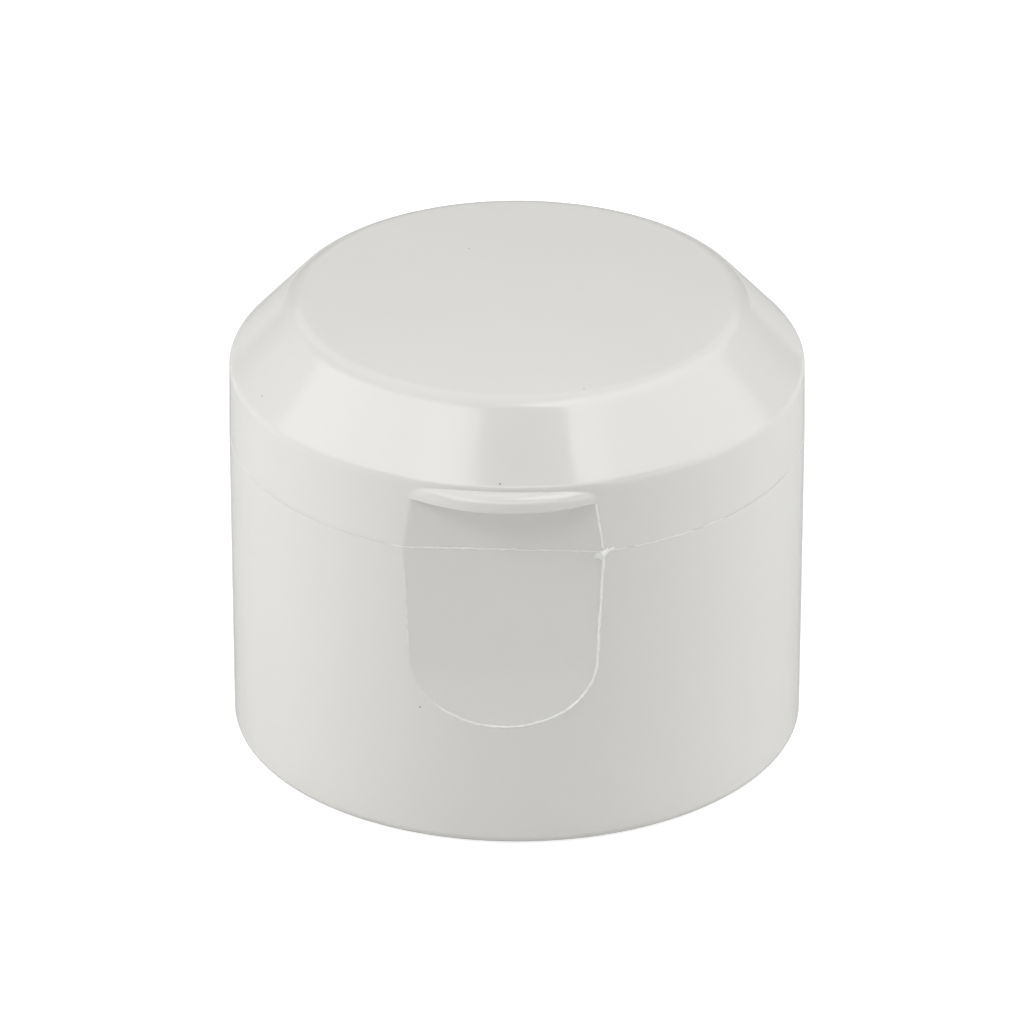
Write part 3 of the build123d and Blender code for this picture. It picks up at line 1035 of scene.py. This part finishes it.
def buildCamera(user):
    data = bpy.data.cameras.new("photoCamera")
    camera = addObject("photoCamera", data)
    data.sensor_width = user["sensor"]
    data.lens = user["sensor"] * user["focal"] / user["imageSide"]
    data.clip_start, data.clip_end = user["clip"]
    turn, rise = math.radians(user["azimuth"]), math.radians(user["elevation"])
    back = Vector((math.sin(turn) * math.cos(rise), -math.cos(turn) * math.cos(rise), math.sin(rise)))
    right = Vector((math.cos(turn), math.sin(turn), 0))
    up = back.cross(right)
    middle = Vector((0, 0, cadHigh.z / 2))
    metresPerPixel = user["distance"] / user["focal"]
    across = (user["capMiddle"][0] - user["imageSide"] / 2) * metresPerPixel
    down = (user["capMiddle"][1] - user["imageSide"] / 2) * metresPerPixel
    aim = middle - right * across + up * down
    camera.rotation_mode = "QUATERNION"
    camera.rotation_quaternion = (-back).to_track_quat("-Z", "Y")
    camera.location = aim + back * user["distance"]
    bpy.context.scene.camera = camera


buildCamera(cameraUser)
print("camera placed")


# The light: softboxes that the bevel mirrors left and right, low panels for the sides, and a pale room.
lightUser = {
    "reach": 0.51,  # m from the cap to each lamp
    "mirroredReach": 0.505,  # two lamps at one place would hide each other
    "room": 0.08,
    "seenRoom": 1.0,
    "mirroredRoom": 0.05,
    # Lamp: direction, direction of its long side, half length, half width (m), brightness of the light it casts,
    # and brightness as the plastic mirrors it, at its far and its near end, where 1 shows as white.
    "lamps": {
        "softboxLeft": ((-0.6779, -0.2351, 0.6967), (0.486, -0.789, 0.376), 0.355, 0.0925, 4.5, (0.95, 2.8)),
        "softboxRight": ((0.5637, 0.0943, 0.8206), (-0.486, -0.789, 0.376), 0.35, 0.2, 1.65, (0.85, 2.75)),
        "sideLeft": ((-0.945, -0.253, 0.16), (-0.259, 0.966, 0), 0.4, 0.2, 1.3, (0.0, 0.0)),
        "sideRight": ((0.945, -0.253, 0.16), (0.259, 0.966, 0), 0.4, 0.2, 1.23, (1.1, 1.1)),
        "wingLeft": ((-0.98, 0.12, 0.16), (0.12, 0.98, 0), 0.2, 0.15, 0.4, (0.0, 0.0)),
        "wingRight": ((0.98, 0.12, 0.16), (-0.12, 0.98, 0), 0.2, 0.15, 2.0, (0.0, 0.0)),
        "backLeft": ((-0.694, 0.583, 0.423), (0.643, 0.766, 0), 0.3, 0.2, 0.2, (0.0, 0.0)),
        "backRight": ((0.694, 0.583, 0.423), (0.643, -0.766, 0), 0.3, 0.2, 0.2, (0.0, 0.0)),
        "behind": ((0, 0.7, 0.71), (1, 0, 0), 0.3, 0.15, 0.3, (0.8, 0.8)),
        "front": ((0, -0.94, 0.342), (1, 0, 0), 0.3, 0.12, 0.11, (0.0, 0.0)),
        "frontUpper": ((0, -0.743, 0.669), (1, 0, 0), 0.33, 0.07, 0.0, (2.8, 2.8)),
        "overhead": ((0, 0.0, 1.0), (1, 0, 0), 0.3, 0.3, 0.0, (0.7, 0.7)),
    },
}


def buildLamp(name, reach, middle, along, halfLength, halfWidth, brightness, farShare=1.0):
    middle, along = Vector(middle).normalized(), Vector(along).normalized()
    across = middle.cross(along).normalized()
    data = bpy.data.lights.new(name, "AREA")
    data.shape = "RECTANGLE"
    data.size, data.size_y = 2 * halfLength, 2 * halfWidth
    data.energy = brightness * math.pi * data.size * data.size_y
    if farShare < 1:
        fadeLamp(data, farShare)
    lamp = addObject(name, data)
    axes = Matrix((across.cross(middle), across, middle)).transposed()
    lamp.matrix_world = Matrix.Translation(middle * reach) @ axes.to_4x4()
    return lamp


def fadeLamp(data, farShare):  # dimmer towards the far end of its long side
    data.use_nodes = True
    tree = data.node_tree
    along = tree.nodes.new("ShaderNodeNewGeometry").outputs["Parametric"]
    place = addNode(tree, "ShaderNodeSeparateXYZ", {"Vector": along})
    fade = addNode(tree, "ShaderNodeMapRange", {"Value": place.outputs["X"], "To Min": farShare, "To Max": 1.0})
    tree.links.new(fade.outputs["Result"], tree.nodes["Emission"].inputs["Strength"])


for lampName, (*shape, cast, (far, near)) in lightUser["lamps"].items():
    if cast > 0:
        buildLamp(lampName, lightUser["reach"], *shape, cast).visible_glossy = False
    if near > 0:
        mirrored = buildLamp(lampName + "Mirrored", lightUser["mirroredReach"], *shape, near, far / near)
        mirrored.visible_diffuse = False


def raysByKind(tree):  # 1 for camera and transmission rays, and 1 for glossy rays
    path = tree.nodes.new("ShaderNodeLightPath").outputs
    return mathNode(tree, "MAXIMUM", path["Is Camera Ray"], path["Is Transmission Ray"]), path["Is Glossy Ray"]


def strengthByKind(tree, plain, seen, mirrored):  # one strength for each kind of ray
    isSeen, isGlossy = raysByKind(tree)
    seenPart = mathNode(tree, "MULTIPLY", isSeen, seen - plain)
    glossyPart = mathNode(tree, "MULTIPLY", isGlossy, mirrored - plain)
    return mathNode(tree, "ADD", mathNode(tree, "ADD", seenPart, glossyPart), plain)


def buildRoom(user):
    world = bpy.data.worlds.new("paleRoom")
    bpy.context.scene.world = world
    world.use_nodes = True
    tree = world.node_tree
    tree.nodes.clear()
    strength = strengthByKind(tree, user["room"], user["seenRoom"], user["mirroredRoom"])
    glow = addNode(tree, "ShaderNodeBackground", {"Color": (1, 1, 1, 1), "Strength": strength})
    addNode(tree, "ShaderNodeOutputWorld", {"Surface": glow.outputs[0]})


buildRoom(lightUser)

# The table: a plain sheet just below the cap, with a tone and a glow of its own for each kind of ray.
floorUser = {
    "side": 3.0,
    "below": 0.00002,
    "tone": 0.8,
    "seenTone": 0.45,
    "seenGlow": 0.78,
    "mirroredTone": 0.2,
    "mirroredGlow": 0.33,
}


def buildFloor(user):
    half = user["side"] / 2
    corners = [(-half, -half), (half, -half), (half, half), (-half, half)]
    mesh = bpy.data.meshes.new("floorSheet")
    mesh.from_pydata([(x, y, -user["below"]) for x, y in corners], [], [(0, 1, 2, 3)])
    floor = addObject("floorSheet", mesh)
    material = bpy.data.materials.new("paleTable")
    material.use_nodes = True
    tree = material.node_tree
    tree.nodes.clear()
    isSeen, isGlossy = raysByKind(tree)
    tone = colourMix(tree, isSeen, (user["tone"],) * 3, (user["seenTone"],) * 3)
    tone = colourMix(tree, isGlossy, tone, (user["mirroredTone"],) * 3)
    paper = addNode(tree, "ShaderNodeBsdfDiffuse", {"Color": tone})
    strength = strengthByKind(tree, 0.0, user["seenGlow"], user["mirroredGlow"])
    glow = addNode(tree, "ShaderNodeEmission", {"Strength": strength})
    both = addNode(tree, "ShaderNodeAddShader", {0: paper.outputs[0], 1: glow.outputs[0]})
    addNode(tree, "ShaderNodeOutputMaterial", {"Surface": both.outputs[0]})
    mesh.materials.append(material)


buildFloor(floorUser)
bpy.context.scene.view_settings.view_transform = "Standard"
print("light and floor set")
